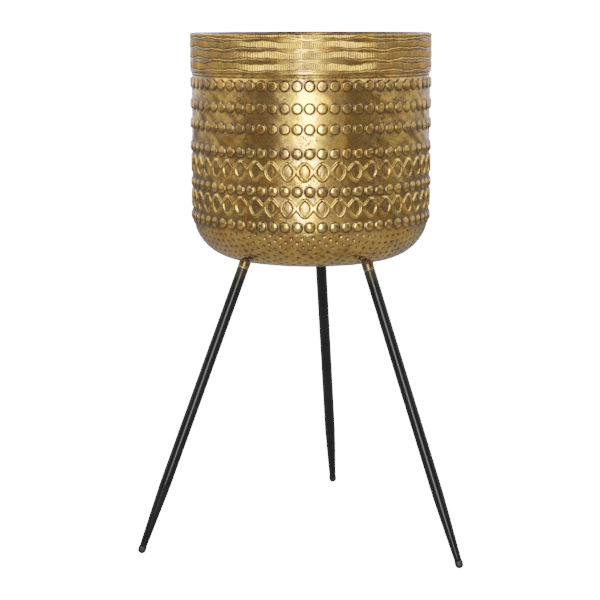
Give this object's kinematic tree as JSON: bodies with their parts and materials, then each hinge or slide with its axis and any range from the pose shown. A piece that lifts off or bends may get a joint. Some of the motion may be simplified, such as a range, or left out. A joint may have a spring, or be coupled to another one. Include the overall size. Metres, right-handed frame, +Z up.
{
  "type": "footed planter",
  "caption": "Round embossed brass planter pot with a rolled collar, standing on three splayed black tapered legs that unscrew from short sockets under its dished base.",
  "frame": {"origin": "on the floor, at the pot's own vertical axis, midway between the three feet", "axes": "+Z up along the pot's axis; one leg stands at +Y (the back), the other two at the front left and front right"},
  "size_m": [0.3638, 0.3433, 0.576],
  "materials": {
    "brass": "antiqued satin brass with brown patina",
    "steel": "zinc plated",
    "black_paint": "semi-gloss black enamel",
    "black_plastic": "matte black"
  },
  "bodies": {
    "pot": {"pot_wall": "brass", "pot_base": "brass", "rim_band": "brass", "rim_wire": "steel", "leg_socket_1": "brass", "leg_socket_2": "brass", "leg_socket_3": "brass"},
    "washer_1": {"leg_washer_1": "steel"},
    "washer_2": {"leg_washer_2": "steel"},
    "washer_3": {"leg_washer_3": "steel"},
    "leg_1": {"leg_stud_1": "steel", "leg_plug_1": "steel", "leg_tube_1": "black_paint", "leg_foot_1": "black_plastic"},
    "leg_2": {"leg_stud_2": "steel", "leg_plug_2": "steel", "leg_tube_2": "black_paint", "leg_foot_2": "black_plastic"},
    "leg_3": {"leg_stud_3": "steel", "leg_plug_3": "steel", "leg_tube_3": "black_paint", "leg_foot_3": "black_plastic"}
  },
  "joints": [
    {"name": "leg_1_travel", "type": "slide", "parent": "pot", "child": "washer_1", "axis": [0, 0.3665, -0.9304], "range_m": [0, 0.0075]},
    {"name": "leg_1_screw", "type": "hinge", "parent": "washer_1", "child": "leg_1", "pos_m": [0, 0.0818, 0.3165], "axis": [0, 0.3665, -0.9304], "range_deg": [0, 2160]},
    {"name": "leg_2_travel", "type": "slide", "parent": "pot", "child": "washer_2", "axis": [-0.3174, -0.1833, -0.9304], "range_m": [0, 0.0075]},
    {"name": "leg_2_screw", "type": "hinge", "parent": "washer_2", "child": "leg_2", "pos_m": [-0.07084, -0.0409, 0.3165], "axis": [-0.3174, -0.1833, -0.9304], "range_deg": [0, 2160]},
    {"name": "leg_3_travel", "type": "slide", "parent": "pot", "child": "washer_3", "axis": [0.3174, -0.1833, -0.9304], "range_m": [0, 0.0075]},
    {"name": "leg_3_screw", "type": "hinge", "parent": "washer_3", "child": "leg_3", "pos_m": [0.07084, -0.0409, 0.3165], "axis": [0.3174, -0.1833, -0.9304], "range_deg": [0, 2160]}
  ],
  "couplings": [
    {"joint": "leg_1_screw", "follows": "leg_1_travel", "rad_per_m": 5026.5},
    {"joint": "leg_2_screw", "follows": "leg_2_travel", "rad_per_m": 5026.5},
    {"joint": "leg_3_screw", "follows": "leg_3_travel", "rad_per_m": 5026.5}
  ]
}
